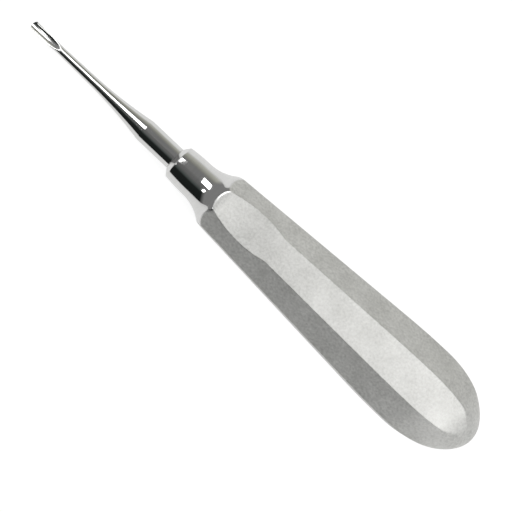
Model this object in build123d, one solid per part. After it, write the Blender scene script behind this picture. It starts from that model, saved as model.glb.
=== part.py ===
from build123d import *
import math
import os

# Dental elevator: an eight-sided steel handle with a polished neck, and a round shank with a gouge blade.
# Sizes are in millimetres. While it is built, the long axis is X, with the butt end at 0 and the tip at +X.
# At the end the instrument is laid on its lowest facet.

# Grip
SIDES = 8
GRIP_LENGTH = 86.0
GRIP_WIDTH = 22.9
SHOULDER_WIDTH = 15.5
BUTT_LENGTH = 19.3
TAPER_BLEND = 6.7

# Thumb scoop in the top facet
SCOOP_FROM_SHOULDER = 1.0
SCOOP_LENGTH = 17.1
SCOOP_DEPTH = 1.12

# Neck and its collar
NECK_LENGTH = 15.6
FLARE_RUN = 7.8
NECK_DIAMETER = 10.2
COLLAR_DIAMETER = 9.4
COLLAR_BEVEL = 1.9
COLLAR_ROUND = 0.5
MOUTH_WALL = 0.1

# Shank and the tang that holds it in the handle
SHANK_DIAMETER = 6.1
SHANK_LENGTH = 10.0
SEAM_CHAMFER = 0.15
TANG_DIAMETER = 4.6
TANG_LENGTH = 16.0
TANG_CHAMFER = 0.4
TANG_CLEARANCE = 0.02
TANG_END_ROOM = 0.3
SHANK_ROUND = 3.0
FLUTE_LENGTH = 18.4
SLIM_DIAMETER = 2.54
SLIM_LENGTH = 10.1
WAIST_DIAMETER = 2.16

# Gouge blade
BLADE_LENGTH = 9.9
BLADE_WIDTH = 2.56
BLADE_PARALLEL = 5.0
TIP_ROUND = 1.45
RIM_HEIGHT = 0.25
RIM_LEVEL_LENGTH = 2.4
RIM_CUT_LEAD = 0.9
RIM_CUT_RISE = 0.04
RIM_WALL = 0.2
FLOOR_WALL = 0.56
WHEEL_RADIUS = 13.5
WHEEL_FROM_TIP = 1.0
EDGE_THICKNESS = 0.06
BEVEL_ANGLE = 12.0

# Room that cutting shapes keep past what they cut
SPARE = 2.0

# Places along the axis that follow from the sizes
HALF_SIDE_ANGLE = 180.0 / SIDES
SHOULDER_X = GRIP_LENGTH
COLLAR_X = SHOULDER_X + NECK_LENGTH
FLUTE_X = COLLAR_X + SHANK_LENGTH
SLIM_X = FLUTE_X + FLUTE_LENGTH
WAIST_X = SLIM_X + SLIM_LENGTH
TIP_X = WAIST_X + BLADE_LENGTH
TAPER_CORNER_X = BUTT_LENGTH + TAPER_BLEND
TAPER_ANGLE = math.degrees(math.atan2((GRIP_WIDTH - SHOULDER_WIDTH) / 2, SHOULDER_X - TAPER_CORNER_X))
TROUGH_RADIUS = BLADE_WIDTH / 2 - RIM_WALL
TROUGH_FLOOR = BLADE_WIDTH / 2 - FLOOR_WALL


def facet_distance(x):
    """Distance from the axis to a facet on the straight taper."""
    return SHOULDER_WIDTH / 2 + (SHOULDER_X - x) * math.tan(math.radians(TAPER_ANGLE))


def grip_outline():
    """Side view of the grip: an elliptical butt, a gentle blend and the straight taper."""
    half = GRIP_WIDTH / 2
    taper = math.radians(TAPER_ANGLE)
    blend_end = (TAPER_CORNER_X + TAPER_BLEND * math.cos(taper), half - TAPER_BLEND * math.sin(taper))
    far_end = (COLLAR_X + SPARE, facet_distance(COLLAR_X + SPARE))
    butt = EllipticalCenterArc((BUTT_LENGTH, 0), BUTT_LENGTH, half, start_angle=90, arc_size=180)
    blend = TangentArc((BUTT_LENGTH, half), blend_end, tangent=(1, 0))
    side = Line(blend_end, far_end)
    end = Line(far_end, (far_end[0], -far_end[1]))
    lower = mirror(Curve() + [blend, side], Plane.XZ)
    return make_face(Curve() + [butt, blend, side, end] + lower.edges())


def grip():
    """The same side view cut through the bar four times, an eighth of a turn apart."""
    reach = GRIP_WIDTH
    slab = extrude(Plane.XZ * grip_outline(), reach, both=True)
    body = slab
    for turn in range(1, SIDES // 2):
        body = body & slab.rotate(Axis.X, turn * 2 * HALF_SIDE_ANGLE)
    return body


def neck_envelope():
    """Turned form of the neck: the collar's bevel, the slim neck and the flare that meets the grip's corners."""
    corner = facet_distance(SHOULDER_X) / math.cos(math.radians(HALF_SIDE_ANGLE))
    mouth = SHANK_DIAMETER / 2 + MOUTH_WALL
    front = (COLLAR_X, mouth)
    collar = (COLLAR_X - COLLAR_BEVEL, COLLAR_DIAMETER / 2)
    neck = (SHOULDER_X + FLARE_RUN, NECK_DIAMETER / 2)
    along_neck = (neck[0] - collar[0], neck[1] - collar[1])
    bevel = FilletPolyline(front, collar, neck, radius=COLLAR_ROUND)
    flare = TangentArc(neck, (SHOULDER_X, corner), tangent=along_neck)
    outside = GRIP_WIDTH
    rise = flare % 1
    past = (outside - corner) / rise.Y
    flare_end = flare @ 1 + rise * past
    wall = Polyline(flare_end, (-SPARE, outside), (-SPARE, 0), (COLLAR_X, 0), front)
    return revolve(Plane.XZ * make_face(Curve() + [bevel, flare, Line(flare @ 1, flare_end), wall]), Axis.X)


def scoop():
    """A drum that lies across the top facet and sinks into it."""
    drum_radius = (SCOOP_LENGTH**2 / 4 + SCOOP_DEPTH**2) / (2 * SCOOP_DEPTH)
    middle = SHOULDER_X - SCOOP_FROM_SHOULDER - SCOOP_LENGTH / 2
    facet = Location((middle, 0, facet_distance(middle)), (0, TAPER_ANGLE, 0))
    drum = Rot(90, 0, 0) * Cylinder(drum_radius, GRIP_WIDTH)
    return facet * Pos(0, 0, drum_radius - SCOOP_DEPTH) * drum


def handle():
    bore_radius = TANG_DIAMETER / 2 + TANG_CLEARANCE
    bore_depth = TANG_LENGTH + TANG_END_ROOM
    bore = Cylinder(bore_radius, bore_depth, align=(Align.CENTER, Align.CENTER, Align.MAX))
    body = grip() & neck_envelope()
    body = body - scoop()
    return body - Pos(COLLAR_X, 0, 0) * Rot(0, 90, 0) * bore


def shank_blank():
    """Turned form of the tang, shank, waist and the plain blade before it is ground."""
    radius = SHANK_DIAMETER / 2
    tang = TANG_DIAMETER / 2
    waist = WAIST_DIAMETER / 2
    blade = BLADE_WIDTH / 2
    back = COLLAR_X - TANG_LENGTH
    root = Polyline((back, 0), (back, tang - TANG_CHAMFER), (back + TANG_CHAMFER, tang), (COLLAR_X, tang))
    shoulder = Polyline((COLLAR_X, tang), (COLLAR_X, radius - SEAM_CHAMFER), (COLLAR_X + SEAM_CHAMFER, radius))
    cylinder = Line((COLLAR_X + SEAM_CHAMFER, radius), (FLUTE_X, radius))
    slim_cone = Line((WAIST_X, waist), (SLIM_X, SLIM_DIAMETER / 2))
    flute = TangentArc(slim_cone @ 1, (FLUTE_X, radius), tangent=slim_cone % 1)
    full = (TIP_X - BLADE_PARALLEL, blade)
    swell_middle = ((WAIST_X + full[0]) / 2, (waist + blade) / 2)
    swell_start = TangentArc((WAIST_X, waist), swell_middle, tangent=(1, 0))
    swell_end = TangentArc(swell_middle, full, tangent=swell_start % 1)
    end = Polyline(full, (TIP_X + SPARE, blade), (TIP_X + SPARE, 0), (back, 0))
    outline = make_face(Curve() + [root, shoulder, cylinder, flute, slim_cone, swell_start, swell_end, end])
    corner = outline.vertices().sort_by_distance((FLUTE_X, radius))[0]
    return revolve(Plane.XZ * fillet(corner, SHANK_ROUND), Axis.X)


def tip_corners():
    """What is ground off the blank so that the tip is round in plan."""
    block = Box(TIP_ROUND + SPARE, 2 * BLADE_WIDTH, 2 * BLADE_WIDTH, align=(Align.MIN, Align.CENTER, Align.CENTER))
    return Pos(TIP_X - TIP_ROUND, 0, 0) * (block - Cylinder(TIP_ROUND, 2 * BLADE_WIDTH))


def edge_bevel():
    """A cone round the trough's own centre line, which thins the tip to an even edge from outside."""
    centre = TROUGH_RADIUS - TROUGH_FLOOR
    widen = math.tan(math.radians(BEVEL_ANGLE))
    edge = TROUGH_RADIUS + EDGE_THICKNESS
    outside = BLADE_WIDTH + centre
    back = (TIP_X - (outside - edge) / widen, outside)
    front = (TIP_X + SPARE, edge - SPARE * widen)
    ring = make_face(Polyline(back, front, (TIP_X + SPARE, outside), back))
    return Pos(0, 0, centre) * revolve(Plane.XZ * ring, Axis.X)


def rim_cut():
    """Side view of what is ground away above the two rims of the gouge."""
    start = (WAIST_X - RIM_CUT_LEAD, WAIST_DIAMETER / 2 + RIM_CUT_RISE)
    level = (TIP_X - RIM_LEVEL_LENGTH, RIM_HEIGHT)
    rim = Spline(start, level, tangents=((1, 0), (1, 0)))
    top = BLADE_WIDTH
    rest = Polyline(level, (TIP_X + SPARE, RIM_HEIGHT), (TIP_X + SPARE, top), (start[0], top), start)
    return extrude(Plane.XZ * make_face(Curve() + [rim, rest]), BLADE_WIDTH, both=True)


def trough():
    """The round-edged wheel that hollows the blade: deepest near the tip, and running out towards the waist."""
    wheel = Rot(90, 0, 0) * Torus(WHEEL_RADIUS - TROUGH_RADIUS, TROUGH_RADIUS)
    return Pos(TIP_X - WHEEL_FROM_TIP, 0, WHEEL_RADIUS - TROUGH_FLOOR) * wheel


def working_end():
    body = shank_blank() - tip_corners()
    body = body - edge_bevel()
    body = body - rim_cut()
    return body - trough()


def laid_down(parts):
    """Turns the instrument until its lowest facet is level, and puts the origin under its middle."""
    tilted = [part.rotate(Axis.Y, TAPER_ANGLE) for part in parts]
    box = Compound(children=[Compound(children=part.solids()) for part in tilted]).bounding_box()
    shift = Pos(-box.center().X, -box.center().Y, -box.min.Z)
    return [shift * part for part in tilted]


os.makedirs("parts", exist_ok=True)
for name, part in zip(("handle", "working_end"), laid_down([handle(), working_end()])):
    export_step(part, f"parts/{name}.step")
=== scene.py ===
import math

import bpy
from mathutils import Matrix, Vector


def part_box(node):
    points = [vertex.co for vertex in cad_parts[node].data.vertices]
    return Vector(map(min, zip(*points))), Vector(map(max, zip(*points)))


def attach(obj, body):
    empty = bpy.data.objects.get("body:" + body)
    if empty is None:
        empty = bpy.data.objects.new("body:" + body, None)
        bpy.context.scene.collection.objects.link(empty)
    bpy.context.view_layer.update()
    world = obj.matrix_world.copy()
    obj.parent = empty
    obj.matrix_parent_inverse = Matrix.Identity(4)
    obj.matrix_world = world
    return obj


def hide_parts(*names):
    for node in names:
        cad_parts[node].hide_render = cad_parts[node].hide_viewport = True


# Looks of a dental elevator: a blasted eight-sided grip with a polished neck, and a polished shank with a
# gouge blade. Outlines are in millimetres along the tool's own axis, from the butt end at 0 to the tip, with
# +Z through the facet that holds the scoop. laid_down() turns them to metres in the frame.
# The sizes are read from the photograph. Some of those of the neck, the collar, the shank and the blade
# differ from the CAD ones, and the form stays in the CAD box.
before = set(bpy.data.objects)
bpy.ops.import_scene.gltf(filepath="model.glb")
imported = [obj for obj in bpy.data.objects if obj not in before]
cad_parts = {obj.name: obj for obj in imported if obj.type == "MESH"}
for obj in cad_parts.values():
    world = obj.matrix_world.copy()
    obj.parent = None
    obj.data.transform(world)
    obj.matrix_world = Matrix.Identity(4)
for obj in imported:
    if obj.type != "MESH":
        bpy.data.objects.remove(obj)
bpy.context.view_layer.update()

MM = 0.001

# Grip: the edges between its facets are rounded, more so towards the butt, which is nearly round
SIDES = 8
GRIP_LENGTH = 86.0
GRIP_WIDTH = 22.9
SHOULDER_WIDTH = 15.5
BUTT_LENGTH = 19.3
TAPER_BLEND = 6.7
FACET_ROUND = 0.38
ROUND_SHARE = 0.999
BUTT_FADE = (1.2, 9.0)

# Thumb scoop in the top facet
SCOOP_FROM_SHOULDER = 1.0
SCOOP_LENGTH = 17.1
SCOOP_DEPTH = 1.12
SCOOP_SOFTNESS = 0.2

# Neck and its collar: from the grip, a rounded lip, a knee, the flare, a slightly bowed neck and a bevel
NECK_LENGTH = 15.3
NECK_BOW = 1.8
FLARE_RUN = 8.0
KNEE_RUN = 0.9
KNEE_DIAMETER = 15.2
LIP_RUN = 0.5
NECK_DIAMETER = 10.28
COLLAR_DIAMETER = 9.5
COLLAR_BEVEL = 1.15
COLLAR_ROUND = 0.6
MOUTH_WALL = 0.1
SCALLOP_SOFTNESS = 0.32
CROSSING_REACH = 3.0

# Shank, and the tang that holds it in the handle
SHANK_DIAMETER = 6.1
SHANK_LENGTH = 10.3
SEAM_CHAMFER = 0.15
TANG_DIAMETER = 4.6
TANG_LENGTH = 16.0
TANG_CHAMFER = 0.4
TANG_CLEARANCE = 0.02
TANG_END_ROOM = 0.3
SHANK_ROUND = 3.0
FLUTE_LENGTH = 18.4
SLIM_DIAMETER = 2.54
SLIM_LENGTH = 10.1
WAIST_DIAMETER = 2.16

# Gouge blade
BLADE_LENGTH = 9.87
BLADE_WIDTH = 2.56
BLADE_PARALLEL = 5.0
TIP_ROUND = 1.45
RIM_HEIGHT = 0.25
RIM_LEVEL_LENGTH = 4.4
RIM_CUT_LEAD = 0.3
RIM_CUT_RISE = 0.04
RIM_SWEEP = 1.15
TROUGH_RADIUS = 1.3
FLOOR_WALL = 0.775
WHEEL_RADIUS = 23.0
WHEEL_FROM_TIP = 1.2
EDGE_THICKNESS = 0.06
BEVEL_ANGLE = 12.0
WIDEST_TOP = math.radians(60)
TROUGH_LEAST = 0.02
TROUGH_MOST = 0.98
TINY = 1e-6

# Places along the axis that follow from the sizes
SIDE_ANGLE = 2 * math.pi / SIDES
SHOULDER_X = GRIP_LENGTH
COLLAR_X = SHOULDER_X + NECK_LENGTH
FLUTE_X = COLLAR_X + SHANK_LENGTH
SLIM_X = FLUTE_X + FLUTE_LENGTH
WAIST_X = SLIM_X + SLIM_LENGTH
TIP_X = WAIST_X + BLADE_LENGTH
TAPER_CORNER_X = BUTT_LENGTH + TAPER_BLEND
TAPER = math.atan2((GRIP_WIDTH - SHOULDER_WIDTH) / 2, SHOULDER_X - TAPER_CORNER_X)
BLEND_END_X = TAPER_CORNER_X + TAPER_BLEND * math.cos(TAPER)
SCOOP_MIDDLE_X = SHOULDER_X - SCOOP_FROM_SHOULDER - SCOOP_LENGTH / 2
SCOOP_RADIUS = (SCOOP_LENGTH**2 / 4 + SCOOP_DEPTH**2) / (2 * SCOOP_DEPTH)
TROUGH_FLOOR = BLADE_WIDTH / 2 - FLOOR_WALL

# How the photograph was taken: the camera's direction and distance from the point that it looks at
VIEW_TARGET = (-4.807, 3.666, 8.0)
VIEW_AZIMUTH = 123.47
VIEW_ELEVATION = 85.02
VIEW_ROLL = 100.06
VIEW_DISTANCE = 400.0
PIXELS_PER_MM = 4.0256
FRAME_PIXELS = 512
SENSOR_WIDTH = 36.0
CLIP_START = 0.01

# How finely the meshes are divided: steps round a section, rows along the axis, and offsets from an edge
FLAT_SHARES = (0.0, 0.03, 0.14, 0.32, 0.5, 0.68, 0.86, 0.97)
ROUND_STEPS = 6
OUTER_STEPS = 44
RIM_STEPS = 3
TROUGH_STEPS = 20
CORNER_STEPS = 8
HALVINGS = 40
BUTT_ROWS = 26
BUTT_FIRST_ANGLE = 2
BLEND_ROWS = 12
TAPER_ROWS = 14
SCOOP_ROWS = 18
APPROACH_ROWS = 4
FLARE_ROWS = 14
NECK_ROWS = 10
SHANK_ROWS = 4
FLUTE_ROWS = 26
SLIM_ROWS = 8
BLADE_ROWS = 56
TIP_ROWS = 20
TIP_LAST_ANGLE = 88
PLAIN_BACK = 2
GUARD = 0.6
CREASE_OFFSETS = (-0.6, -0.35, -0.22, -0.1, 0.0, 0.1, 0.22)
SCALLOP_OFFSETS = (-0.4, -0.32, -0.24, -0.16, -0.08, 0.0, 0.08, 0.16, 0.24, 0.32, 0.4)
HONED_ROWS = (2, 7)

# The room that the metal reflects: angle round the tool from the zenith towards +Y, level and tint
OLIVE = (1.0, 1.0, 0.9)
PLAIN = (1.0, 1.0, 1.0)
GREENISH = (0.85, 1.0, 0.95)
ROOM_RING = (
    (-180, 0.90, PLAIN), (-110, 0.92, PLAIN), (-90, 0.70, PLAIN), (-80, 0.51, OLIVE), (-70, 0.43, OLIVE),
    (-60, 0.32, OLIVE), (-50, 0.25, OLIVE), (-40, 0.21, PLAIN), (-10, 0.20, PLAIN), (0, 0.16, PLAIN),
    (15, 0.14, PLAIN), (30, 0.08, GREENISH), (40, 0.018, GREENISH), (90, 0.014, GREENISH), (100, 0.16, PLAIN),
    (110, 0.62, PLAIN), (120, 0.80, PLAIN), (180, 0.90, PLAIN),
)

# The plain level that the ring gives way to, over a range of the direction's X, beyond the tip and the butt
TIPWARD = (0.62, 0.76)
TIPWARD_LEVEL = 0.24
BUTTWARD = (-0.5, -0.8)
BUTTWARD_LEVEL = 0.4

# Steels: dark and pale tone, range of roughness, and the grain's stretch along each axis, scale and strength
POLISHED = ((0.70, 0.70, 0.69), (0.77, 0.77, 0.76))
STEELS = {
    "blasted_steel": (((0.54, 0.54, 0.52), (0.86, 0.86, 0.84)), (0.46, 0.62), (1, 1, 1), 1500.0, 0.8),
    "honed_edge": (POLISHED, (0.26, 0.36), (1, 1, 1), 2200.0, 0.1),
    "polished_steel": (POLISHED, (0.05, 0.09), (1, 0.06, 0.06), 2200.0, 0.01),
    "drawn_steel": (POLISHED, (0.05, 0.1), (0.06, 1, 1), 2200.0, 0.01),
    "ground_blade": (POLISHED, (0.15, 0.22), (0.1, 1, 1), 3000.0, 0.05),
}
NOISE_DETAIL = 3.0
NOISE_ROUGHNESS = 0.6
NOISE_RANGE = (0.3, 0.7)
DRIFT_SCALE = 160.0
DRIFT_SHARE = 0.3
GRAIN_RELIEF = 0.00004
SHARP_TURN = 32

# Floor
FLOOR_REACH = 3.0
FLOOR_DROP = 0.00002
FLOOR_TONE = (0.35, 0.35, 0.35)
FLOOR_ROUGHNESS = 0.9
FLOOR_SPECULAR = 0.1

# Light that the floor adds for the camera and for the metal that reflects it
FLOOR_GLOW = 0.86
FLOOR_GLINT = 0.62

# Lamps: name, place, point that it faces, width, height and radiance
LAMPS = (
    ("lamp_key", (0.127, -0.046, 0.150), (0.127, -0.046, 0.0), 0.108, 0.082, 3.6),
    ("lamp_small", (0.145, 0.061, 0.150), (0.145, 0.061, 0.0), 0.034, 0.042, 4.0),
    ("lamp_top", (-0.040, -0.005, 0.120), (-0.040, -0.005, 0.0), 0.115, 0.120, 1.25),
    ("lamp_butt", (-0.190, 0.010, 0.160), (-0.06, 0.0, 0.0), 0.08, 0.12, 3.1),
    ("lamp_side", (-0.130, 0.110, 0.050), (-0.060, 0.0, 0.010), 0.080, 0.080, 0.6),
)


# Curves in the side view
def arc_from(start, direction, end):
    """Centre and radius of the arc that leaves start along direction and passes through end."""
    size = math.hypot(*direction)
    across = (-direction[1] / size, direction[0] / size)
    to_end = (end[0] - start[0], end[1] - start[1])
    radius = (to_end[0]**2 + to_end[1]**2) / (2 * (across[0] * to_end[0] + across[1] * to_end[1]))
    return start[0] + across[0] * radius, start[1] + across[1] * radius, abs(radius)


def arc_height(arc, x, above):
    """Height of an arc at x: its upper half if above is true, and otherwise its lower half."""
    reach = math.sqrt(max(arc[2]**2 - (x - arc[0])**2, 0.0))
    return arc[1] + reach if above else arc[1] - reach


def smooth_min(a, b, softness):
    """The smaller of two lengths, rounded off where they cross."""
    near = max(softness - abs(a - b), 0.0) / softness
    return min(a, b) - near * near * softness / 4


def smooth_step(x, start, end):
    share = min(max((x - start) / (end - start), 0.0), 1.0)
    return share * share * (3 - 2 * share)


def spread(start, end, count):
    """count + 1 evenly spaced places from start to end."""
    return [start + (end - start) * i / count for i in range(count + 1)]


# Grip sections
BLEND_ARC = arc_from((BUTT_LENGTH, GRIP_WIDTH / 2), (1, 0),
                     (BLEND_END_X, GRIP_WIDTH / 2 - TAPER_BLEND * math.sin(TAPER)))


def facet_distance(x):
    """Distance from the axis to a plain facet."""
    if x < BUTT_LENGTH:
        return GRIP_WIDTH / 2 * math.sqrt(max(1 - ((BUTT_LENGTH - x) / BUTT_LENGTH)**2, 0.0))
    if x < BLEND_END_X:
        return arc_height(BLEND_ARC, x, above=True)
    return SHOULDER_WIDTH / 2 + (SHOULDER_X - x) * math.tan(TAPER)


def scoop_distance(x):
    """Distance from the axis to the drum that hollows the top facet."""
    middle = facet_distance(SCOOP_MIDDLE_X)
    rise = SCOOP_RADIUS - SCOOP_DEPTH
    centre_x = SCOOP_MIDDLE_X + rise * math.sin(TAPER)
    centre_z = middle + rise * math.cos(TAPER)
    if abs(x - centre_x) > SCOOP_LENGTH:
        return GRIP_WIDTH
    return arc_height((centre_x, centre_z, SCOOP_RADIUS), x, above=False)


def facet_distances(x):
    plain = facet_distance(x)
    top = smooth_min(plain, scoop_distance(x), SCOOP_SOFTNESS)
    return [top] + [plain] * (SIDES - 1)


def grip_section(x):
    """Points (y, z) round the grip: each facet's flat, and the rounded edge that follows it."""
    distances = facet_distances(x)
    fade = 1 - smooth_step(x, *BUTT_FADE)
    least = min(distances)
    edge = FACET_ROUND + (least * ROUND_SHARE - FACET_ROUND) * fade if least > FACET_ROUND else 0.0
    centres = [round_centre(distances, i, edge) for i in range(SIDES)]
    points = []
    for i in range(SIDES):
        before = centres[i - 1]
        after = centres[i]
        out = (math.sin(i * SIDE_ANGLE), math.cos(i * SIDE_ANGLE))
        for share in FLAT_SHARES:
            y = before[0] + (after[0] - before[0]) * share + edge * out[0]
            z = before[1] + (after[1] - before[1]) * share + edge * out[1]
            points.append((y, z))
        for step in range(ROUND_STEPS):
            turn = (i + step / ROUND_STEPS) * SIDE_ANGLE
            points.append((after[0] + edge * math.sin(turn), after[1] + edge * math.cos(turn)))
    return points


def round_centre(distances, i, edge):
    """Centre of the rounded edge between facet i and the next one."""
    a = distances[i] - edge
    b = distances[(i + 1) % SIDES] - edge
    along = (b - a * math.cos(SIDE_ANGLE)) / math.sin(SIDE_ANGLE)
    turn = i * SIDE_ANGLE
    return a * math.sin(turn) + along * math.cos(turn), a * math.cos(turn) - along * math.sin(turn)


# Neck
NECK_START = (SHOULDER_X + FLARE_RUN, NECK_DIAMETER / 2)
COLLAR_CORNER = (COLLAR_X - COLLAR_BEVEL, COLLAR_DIAMETER / 2)
KNEE = (SHOULDER_X + KNEE_RUN, KNEE_DIAMETER / 2)
LIP_X = SHOULDER_X - LIP_RUN
LIP = (LIP_X, facet_distance(LIP_X) / math.cos(SIDE_ANGLE / 2))
FLARE_ARC = arc_from(NECK_START, (-1, 0), KNEE)
LIP_ARC = arc_from(KNEE, (KNEE[1] - FLARE_ARC[1], FLARE_ARC[0] - KNEE[0]), LIP)
LIP_SLOPE = (LIP[0] - LIP_ARC[0]) / (LIP[1] - LIP_ARC[1])


def neck_radius(x):
    """Radius of the turned neck, from the flare up to the collar's corner."""
    if x >= NECK_START[0]:
        share = (x - NECK_START[0]) / (COLLAR_CORNER[0] - NECK_START[0])
        return NECK_START[1] + (COLLAR_CORNER[1] - NECK_START[1]) * share**NECK_BOW
    if x >= KNEE[0]:
        return arc_height(FLARE_ARC, x, above=False)
    if x >= LIP_X:
        return arc_height(LIP_ARC, x, above=True)
    return LIP[1] + (LIP_X - x) * LIP_SLOPE


def rounded_corner(before, corner, after, radius, steps):
    """Points along the arc that rounds a corner between two straight lines."""
    back = Vector((before[0] - corner[0], before[1] - corner[1])).normalized()
    ahead = Vector((after[0] - corner[0], after[1] - corner[1])).normalized()
    half = back.angle(ahead) / 2
    inward = (back + ahead).normalized()
    middle = Vector(corner) + inward * radius / math.sin(half)
    outward = math.atan2(-inward.y, -inward.x)
    reach = math.pi / 2 - half
    if (back.x * -inward.y - back.y * -inward.x) > 0:
        turns = spread(outward - reach, outward + reach, steps)
    else:
        turns = spread(outward + reach, outward - reach, steps)
    return [(middle.x + radius * math.cos(turn), middle.y + radius * math.sin(turn)) for turn in turns]


def crossing(column):
    """Where the neck cuts through the grip along one column of points."""
    low = SHOULDER_X - CROSSING_REACH
    high = NECK_START[0]
    for _ in range(HALVINGS):
        x = (low + high) / 2
        reach = math.hypot(*grip_section(x)[column])
        if reach < neck_radius(x):
            low = x
        else:
            high = x
    return low


# Turned form of the shank
SLIM_SLOPE = ((SLIM_DIAMETER - WAIST_DIAMETER) / 2) / SLIM_LENGTH
FLUTE_ARC = arc_from((SLIM_X, SLIM_DIAMETER / 2), (-1, SLIM_SLOPE), (FLUTE_X, SHANK_DIAMETER / 2))
BLADE_FULL_X = TIP_X - BLADE_PARALLEL
SWELL_MIDDLE = ((WAIST_X + BLADE_FULL_X) / 2, (WAIST_DIAMETER + BLADE_WIDTH) / 4)
SWELL_START = arc_from((WAIST_X, WAIST_DIAMETER / 2), (1, 0), SWELL_MIDDLE)
SWELL_END = arc_from((BLADE_FULL_X, BLADE_WIDTH / 2), (-1, 0), SWELL_MIDDLE)


def shank_radius(x):
    if x < FLUTE_X:
        return SHANK_DIAMETER / 2
    if x < SLIM_X:
        return arc_height(FLUTE_ARC, x, above=False)
    if x < WAIST_X:
        return WAIST_DIAMETER / 2 + (WAIST_X - x) * SLIM_SLOPE
    if x < SWELL_MIDDLE[0]:
        return arc_height(SWELL_START, x, above=False)
    if x < BLADE_FULL_X:
        return arc_height(SWELL_END, x, above=True)
    return BLADE_WIDTH / 2


# Blade sections
BEVEL_CENTRE = TROUGH_RADIUS - TROUGH_FLOOR
WHEEL_X = TIP_X - WHEEL_FROM_TIP
WHEEL_Z = WHEEL_RADIUS - TROUGH_FLOOR
RIM_START_X = WAIST_X - RIM_CUT_LEAD
RIM_START_Z = WAIST_DIAMETER / 2 + RIM_CUT_RISE
RIM_LEVEL_X = TIP_X - RIM_LEVEL_LENGTH


def rim_level(x):
    """Height of the ground rims."""
    back = min(max((RIM_LEVEL_X - x) / (RIM_LEVEL_X - RIM_START_X), 0.0), 1.0)
    return RIM_HEIGHT + (RIM_START_Z - RIM_HEIGHT) * back**RIM_SWEEP


def trough_level(x, y):
    """Height of the trough's floor, or far above the blade where the wheel doesn't reach."""
    inside = TROUGH_RADIUS**2 - y**2
    if inside <= 0:
        return BLADE_WIDTH
    reach = WHEEL_RADIUS - TROUGH_RADIUS + math.sqrt(inside)
    return WHEEL_Z - math.sqrt(reach**2 - (x - WHEEL_X)**2)


def top_level(x, y):
    return min(rim_level(x), trough_level(x, y))


def plan_reach(x):
    """Half width that the rounded tip leaves at x."""
    ahead = x - (TIP_X - TIP_ROUND)
    return math.sqrt(max(TIP_ROUND**2 - ahead**2, 0.0)) if ahead > 0 else BLADE_WIDTH


def outer_reach(x, turn):
    """Distance from the axis to the blade's outside, in the direction turn from +Y towards +Z."""
    y = math.cos(turn)
    z = math.sin(turn)
    cone = TROUGH_RADIUS + EDGE_THICKNESS + (TIP_X - x) * math.tan(math.radians(BEVEL_ANGLE))
    bevel = BEVEL_CENTRE * z + math.sqrt(max((BEVEL_CENTRE * z)**2 + cone**2 - BEVEL_CENTRE**2, 0.0))
    plan = plan_reach(x) / max(abs(y), TINY)
    return min(shank_radius(x), bevel, plan)


def rim_turn(x):
    """Direction of the rim's outer corner."""
    low = -math.pi / 2
    high = WIDEST_TOP
    if x < RIM_START_X:
        return high
    for _ in range(HALVINGS):
        turn = (low + high) / 2
        reach = outer_reach(x, turn)
        if reach * math.sin(turn) < top_level(x, reach * math.cos(turn)):
            low = turn
        else:
            high = turn
    return low


def trough_half_width(x, limit):
    """How far the trough reaches to each side at the level of the rims."""
    low = TROUGH_LEAST * limit
    high = limit
    if trough_level(x, low) >= rim_level(x):
        return low
    for _ in range(HALVINGS):
        y = (low + high) / 2
        if trough_level(x, y) < rim_level(x):
            low = y
        else:
            high = y
    return low


def blade_section(x):
    """Points (y, z) round the working end: the outside below, and the rims and the trough on top."""
    turn = rim_turn(x)
    points = []
    for place in spread(turn, -math.pi - turn, OUTER_STEPS):
        reach = outer_reach(x, place)
        points.append((reach * math.cos(place), reach * math.sin(place)))
    edge = points[0][0]
    hollow = min(trough_half_width(x, edge), edge * TROUGH_MOST)
    across = spread(-edge, -hollow, RIM_STEPS)[1:]
    across += [-hollow * math.cos(math.pi * i / TROUGH_STEPS) for i in range(1, TROUGH_STEPS + 1)]
    across += spread(hollow, edge, RIM_STEPS)[1:-1]
    radius = shank_radius(x)
    for y in across:
        round_top = math.sqrt(max(radius**2 - y**2, 0.0))
        points.append((y, min(round_top, top_level(x, y)) if x >= RIM_START_X else round_top))
    return points


def turned_section(radius):
    """The same points on a plain circle."""
    plain = blade_section(WAIST_X - PLAIN_BACK)
    scale = radius / shank_radius(WAIST_X - PLAIN_BACK)
    return [(y * scale, z * scale) for y, z in plain]


# Meshes
def laid_down(x, y, z):
    """A point of the tool's own frame, in metres, turned until the lowest facet is level."""
    return (
        MM * (x * math.cos(TAPER) + z * math.sin(TAPER)),
        MM * y,
        MM * (z * math.cos(TAPER) - x * math.sin(TAPER)),
    )


def skin(name, rows):
    """A closed mesh through rows of points, with a point at each end of it."""
    count = len(rows[0])
    vertices = [laid_down(*point) for row in rows for point in row]
    faces = []
    for r in range(len(rows) - 1):
        for c in range(count):
            d = (c + 1) % count
            faces.append((r * count + c, r * count + d, (r + 1) * count + d, (r + 1) * count + c))
    for r, flip in ((0, True), (len(rows) - 1, False)):
        middle = len(vertices)
        vertices.append(tuple(Vector([sum(axis) / count for axis in zip(*[laid_down(*p) for p in rows[r]])])))
        for c in range(count):
            d = (c + 1) % count
            ring = (r * count + d, r * count + c) if flip else (r * count + c, r * count + d)
            faces.append((*ring, middle))
    mesh = bpy.data.meshes.new(name)
    mesh.from_pydata(vertices, [], faces)
    mesh.validate()
    piece = bpy.data.objects.new(name, mesh)
    bpy.context.scene.collection.objects.link(piece)
    mesh.polygons.foreach_set("use_smooth", [True] * len(mesh.polygons))
    return piece


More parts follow.
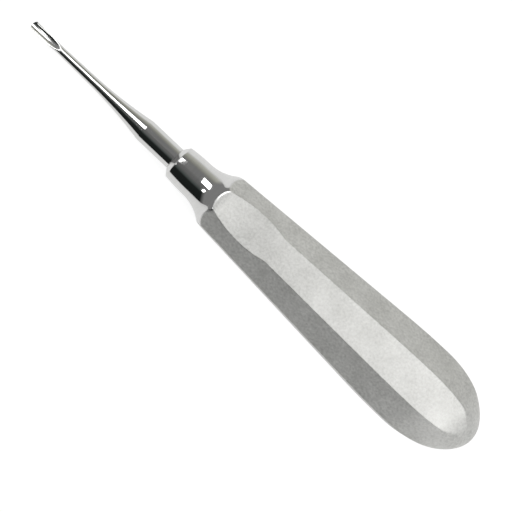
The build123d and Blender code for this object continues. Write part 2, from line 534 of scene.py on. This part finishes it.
def grip_stations():
    """Stations from the butt to just short of the shoulder, closer together where the form turns."""
    turns = spread(math.radians(BUTT_FIRST_ANGLE), math.pi / 2, BUTT_ROWS)
    butt = [BUTT_LENGTH * (1 - math.cos(turn)) for turn in turns]
    blend = spread(BUTT_LENGTH, BLEND_END_X, BLEND_ROWS)[1:]
    scoop_start = SHOULDER_X - SCOOP_FROM_SHOULDER - SCOOP_LENGTH
    scoop_end = SHOULDER_X - SCOOP_FROM_SHOULDER
    plain = spread(BLEND_END_X, scoop_start - GUARD, TAPER_ROWS)[1:-1]
    first_crease = [scoop_start + offset for offset in CREASE_OFFSETS]
    hollow = spread(scoop_start + GUARD, scoop_end - GUARD, SCOOP_ROWS)[1:-1]
    last_crease = [scoop_end + offset for offset in CREASE_OFFSETS[:-1]]
    return butt + blend + plain + first_crease + hollow + last_crease


def shoulder_places(crossing_x, last_station):
    """Places along one column: up to its scallop, over the edge there, and down the flare."""
    first = crossing_x + SCALLOP_OFFSETS[0]
    last = crossing_x + SCALLOP_OFFSETS[-1]
    places = spread(last_station, first, APPROACH_ROWS)[1:-1]
    places += [crossing_x + offset for offset in SCALLOP_OFFSETS]
    return places + spread(last, NECK_START[0], FLARE_ROWS)[1:]


def shoulder_point(x, column):
    """A point of one column, on the grip or on the neck, whichever is nearer to the axis."""
    y, z = grip_section(min(x, NECK_START[0]))[column]
    reach = math.hypot(y, z)
    scale = smooth_min(reach, neck_radius(x), SCALLOP_SOFTNESS) / reach
    return x, y * scale, z * scale


def shoulder_rows(columns):
    """Rows from the grip's last station to the slim neck."""
    last_station = grip_stations()[-1]
    places = [shoulder_places(crossing(c), last_station) for c in range(columns)]
    return [[shoulder_point(x, c) for c, x in enumerate(row)] for row in zip(*places)]


def collar_outline():
    """Side view (x, radius) from the slim neck round the collar and down the bore."""
    mouth = SHANK_DIAMETER / 2 + MOUTH_WALL
    bore = TANG_DIAMETER / 2 + TANG_CLEARANCE
    bow_end_x = COLLAR_CORNER[0] - GUARD
    bow_end = (bow_end_x, neck_radius(bow_end_x))
    outline = [(x, neck_radius(x)) for x in spread(NECK_START[0], bow_end_x, NECK_ROWS)[1:]]
    outline += rounded_corner(bow_end, COLLAR_CORNER, (COLLAR_X, mouth), COLLAR_ROUND, CORNER_STEPS)
    outline += [(COLLAR_X, mouth), (COLLAR_X, (mouth + bore) / 2), (COLLAR_X, bore), (COLLAR_X - GUARD, bore)]
    outline.append((COLLAR_X - TANG_LENGTH - TANG_END_ROOM, bore))
    return outline


def build_handle():
    """The handle, and how many of its faces come before the honed edge and before the polished neck."""
    rows = [[(x, y, z) for y, z in grip_section(x)] for x in grip_stations()]
    columns = len(rows[0])
    edge_row = len(rows) + APPROACH_ROWS - 1
    rows += shoulder_rows(columns)
    turns = [math.atan2(y, z) for x, y, z in rows[-1]]
    for x, radius in collar_outline():
        rows.append([(x, radius * math.sin(turn), radius * math.cos(turn)) for turn in turns])
    return skin("handle_body", rows), [(edge_row + row) * columns for row in HONED_ROWS]


def shank_outline():
    """Side view (x, radius) of the turned part, from the end of the tang to the start of the rims."""
    back = COLLAR_X - TANG_LENGTH
    tang = TANG_DIAMETER / 2
    shank = SHANK_DIAMETER / 2
    seam = COLLAR_X + SEAM_CHAMFER
    past = (FLUTE_X + GUARD, shank_radius(FLUTE_X + GUARD))
    outline = [(back, tang - TANG_CHAMFER), (back + TANG_CHAMFER, tang), (back + TANG_CHAMFER + GUARD, tang)]
    outline += [(COLLAR_X - GUARD, tang), (COLLAR_X, tang), (COLLAR_X, shank - SEAM_CHAMFER)]
    outline += [(seam, shank), (seam + GUARD, shank)]
    outline += [(x, shank) for x in spread(seam + GUARD, FLUTE_X - GUARD, SHANK_ROWS)[1:]]
    outline += rounded_corner((COLLAR_X, shank), (FLUTE_X, shank), past, SHANK_ROUND, CORNER_STEPS)
    outline += [(x, shank_radius(x)) for x in spread(past[0], SLIM_X, FLUTE_ROWS)]
    outline += [(x, shank_radius(x)) for x in spread(SLIM_X, RIM_START_X, SLIM_ROWS)[1:]]
    return outline


def working_end_rows():
    rows = [[(x, y, z) for y, z in turned_section(radius)] for x, radius in shank_outline()]
    stations = spread(RIM_START_X, TIP_X - TIP_ROUND, BLADE_ROWS)[1:]
    turns = spread(0, math.radians(TIP_LAST_ANGLE), TIP_ROWS)[1:]
    stations += [TIP_X - TIP_ROUND * (1 - math.sin(turn)) for turn in turns]
    return rows + [[(x, y, z) for y, z in blade_section(x)] for x in stations]


def build_working_end():
    """The working end, and how many of its faces come before the ground blade."""
    rows = working_end_rows()
    drawn_rows = sum(row[0][0] < RIM_START_X for row in rows)
    return skin("shank_and_blade", rows), [drawn_rows * len(rows[0])]


def paint_bands(piece, names, limits):
    """Gives the faces before each limit the next steel, and the last steel to the rest."""
    for name in names:
        piece.data.materials.append(steel(name))
    for polygon in piece.data.polygons:
        polygon.material_index = sum(polygon.index >= limit for limit in limits)
    piece.data.set_sharp_from_angle(angle=math.radians(SHARP_TURN))


# Materials
def new_material(name):
    material = bpy.data.materials.new(name)
    material.use_nodes = True
    nodes = material.node_tree.nodes
    nodes.clear()
    output = nodes.new("ShaderNodeOutputMaterial")
    shader = nodes.new("ShaderNodeBsdfPrincipled")
    material.node_tree.links.new(shader.outputs["BSDF"], output.inputs["Surface"])
    return material, shader


def add_node(owner, kind, inputs=None, **settings):
    """A node with its settings, and its inputs set to values or linked to sockets."""
    node = owner.node_tree.nodes.new(kind)
    for name, value in settings.items():
        setattr(node, name, value)
    for name, value in (inputs or {}).items():
        if isinstance(value, bpy.types.NodeSocket):
            owner.node_tree.links.new(value, node.inputs[name])
        else:
            node.inputs[name].default_value = value
    return node


def math_node(owner, operation, *inputs):
    """The result of one operation on numbers or sockets."""
    return add_node(owner, "ShaderNodeMath", dict(enumerate(inputs)), operation=operation).outputs[0]


def ranged(owner, value, source, target=(0.0, 1.0)):
    """A value that is moved from one range to another."""
    inputs = {"Value": value, "From Min": source[0], "From Max": source[1]}
    inputs.update({"To Min": target[0], "To Max": target[1]})
    return add_node(owner, "ShaderNodeMapRange", inputs).outputs["Result"]


def mixed(owner, share, first, second):
    """The colour between first and second, each one a socket or three numbers."""
    node = add_node(owner, "ShaderNodeMix", data_type="RGBA")
    for socket, value in ((0, share), (6, first), (7, second)):
        if isinstance(value, bpy.types.NodeSocket):
            owner.node_tree.links.new(value, node.inputs[socket])
        else:
            node.inputs[socket].default_value = value if isinstance(value, float) else (*value, 1.0)
    return node.outputs[2]


def noise(material, stretch, scale):
    """Noise that is fixed to the object, coarser along an axis whose stretch is small."""
    place = add_node(material, "ShaderNodeTexCoord").outputs["Object"]
    mapped = add_node(material, "ShaderNodeMapping", {"Vector": place, "Scale": stretch}).outputs["Vector"]
    inputs = {"Vector": mapped, "Scale": scale, "Detail": NOISE_DETAIL, "Roughness": NOISE_ROUGHNESS}
    return add_node(material, "ShaderNodeTexNoise", inputs).outputs["Fac"]


def steel(name):
    """Bare steel: its colour drifts between two tones, and its grain sets the roughness and the relief."""
    tones, roughness, stretch, scale, strength = STEELS[name]
    material, shader = new_material(name)
    links = material.node_tree.links
    grain = noise(material, stretch, scale)
    drift = noise(material, (1.0, 1.0, 1.0), DRIFT_SCALE)
    fine = math_node(material, "MULTIPLY", grain, 1 - DRIFT_SHARE)
    tone = math_node(material, "MULTIPLY_ADD", drift, DRIFT_SHARE, fine)
    links.new(mixed(material, ranged(material, tone, NOISE_RANGE), *tones), shader.inputs["Base Color"])
    links.new(ranged(material, grain, NOISE_RANGE, roughness), shader.inputs["Roughness"])
    inputs = {"Height": grain, "Strength": strength, "Distance": GRAIN_RELIEF}
    links.new(add_node(material, "ShaderNodeBump", inputs).outputs["Normal"], shader.inputs["Normal"])
    shader.inputs["Metallic"].default_value = 1.0
    return material


# Stage
def build_floor():
    mesh = bpy.data.meshes.new("floor")
    corners = [(x * FLOOR_REACH, y * FLOOR_REACH, 0) for x, y in ((-1, -1), (1, -1), (1, 1), (-1, 1))]
    mesh.from_pydata(corners, [], [(0, 1, 2, 3)])
    floor = bpy.data.objects.new("floor", mesh)
    bpy.context.scene.collection.objects.link(floor)
    floor.location.z = -FLOOR_DROP
    material, shader = new_material("pale_floor")
    shader.inputs["Base Color"].default_value = (*FLOOR_TONE, 1)
    shader.inputs["Roughness"].default_value = FLOOR_ROUGHNESS
    shader.inputs["Specular IOR Level"].default_value = FLOOR_SPECULAR
    rays = add_node(material, "ShaderNodeLightPath").outputs
    to_camera = math_node(material, "MULTIPLY", rays["Is Camera Ray"], FLOOR_GLOW)
    to_metal = math_node(material, "MULTIPLY", rays["Is Glossy Ray"], FLOOR_GLINT)
    glow = math_node(material, "ADD", to_camera, to_metal)
    material.node_tree.links.new(glow, shader.inputs["Emission Strength"])
    shader.inputs["Emission Color"].default_value = (1, 1, 1, 1)
    mesh.materials.append(material)


def build_world():
    """A room that is white to the camera, and a ring of pale, grey and black cards to the metal."""
    world = bpy.data.worlds.new("studio")
    bpy.context.scene.world = world
    world.use_nodes = True
    world.node_tree.nodes.clear()
    way = add_node(world, "ShaderNodeTexCoord").outputs["Generated"]
    parts = add_node(world, "ShaderNodeSeparateXYZ", {"Vector": way}).outputs
    side = math_node(world, "ARCTAN2", parts["Y"], parts["Z"])
    ring = add_node(world, "ShaderNodeValToRGB", {"Fac": ranged(world, side, (-math.pi, math.pi))})
    fill_ramp(ring.color_ramp, [((angle + 180) / 360, level, tint) for angle, level, tint in ROOM_RING])
    tipward = ranged(world, parts["X"], TIPWARD)
    buttward = ranged(world, parts["X"], BUTTWARD)
    ahead = mixed(world, tipward, ring.outputs["Color"], (TIPWARD_LEVEL,) * 3)
    both = mixed(world, buttward, ahead, (BUTTWARD_LEVEL,) * 3)
    rays = add_node(world, "ShaderNodeLightPath").outputs
    seen = mixed(world, rays["Is Camera Ray"], both, PLAIN)
    room = add_node(world, "ShaderNodeBackground", {"Color": seen})
    output = add_node(world, "ShaderNodeOutputWorld")
    world.node_tree.links.new(room.outputs[0], output.inputs["Surface"])


def fill_ramp(ramp, stops):
    """Sets a colour ramp to (place, level, tint) stops."""
    while len(ramp.elements) < len(stops):
        ramp.elements.new(1.0)
    for element, (place, level, tint) in zip(ramp.elements, stops):
        element.position = place
        element.color = (level * tint[0], level * tint[1], level * tint[2], 1.0)


def area_lamp(name, position, target, width, height, radiance):
    lamp = bpy.data.lights.new(name, "AREA")
    lamp.shape = "RECTANGLE"
    lamp.size = width
    lamp.size_y = height
    lamp.energy = radiance * math.pi * width * height
    holder = bpy.data.objects.new(name, lamp)
    bpy.context.scene.collection.objects.link(holder)
    holder.location = position
    holder.rotation_euler = (Vector(target) - Vector(position)).to_track_quat("-Z", "Y").to_euler()
    holder.visible_camera = False


def build_camera():
    azimuth = math.radians(VIEW_AZIMUTH)
    elevation = math.radians(VIEW_ELEVATION)
    roll = math.radians(VIEW_ROLL)
    flat = math.cos(elevation)
    back = Vector((math.sin(azimuth) * flat, -math.cos(azimuth) * flat, math.sin(elevation)))
    level = Vector((math.cos(azimuth), math.sin(azimuth), 0))
    upright = back.cross(level)
    right = level * math.cos(roll) + upright * math.sin(roll)
    up = upright * math.cos(roll) - level * math.sin(roll)
    camera = bpy.data.cameras.new("camera")
    camera.sensor_width = SENSOR_WIDTH
    camera.lens = SENSOR_WIDTH * PIXELS_PER_MM * VIEW_DISTANCE / FRAME_PIXELS
    camera.clip_start = CLIP_START
    holder = bpy.data.objects.new("camera", camera)
    bpy.context.scene.collection.objects.link(holder)
    place = (Vector(VIEW_TARGET) + back * VIEW_DISTANCE) * MM
    holder.matrix_world = Matrix.Translation(place) @ Matrix((right, up, back)).transposed().to_4x4()
    bpy.context.scene.camera = holder


def seat_in_frame(pieces):
    """Moves the meshes so that the butt end and the lowest facet meet the CAD box."""
    low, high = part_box("handle")
    points = [v.co for v in pieces[0].data.vertices]
    shift = Vector((low.x - min(p.x for p in points), 0, low.z - min(p.z for p in points)))
    for piece in pieces:
        piece.data.transform(Matrix.Translation(shift))


handle, handle_limits = build_handle()
working_end, blade_limits = build_working_end()
seat_in_frame([handle, working_end])
paint_bands(handle, ("blasted_steel", "honed_edge", "polished_steel"), handle_limits)
paint_bands(working_end, ("drawn_steel", "ground_blade"), blade_limits)
for piece, node, slot in ((handle, "handle", "handle_steel"), (working_end, "working_end", "shank_steel")):
    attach(piece, "root")
    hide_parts(node)

build_floor()
build_world()
build_camera()
for lamp in LAMPS:
    area_lamp(*lamp)

bpy.context.scene.view_settings.view_transform = "Standard"
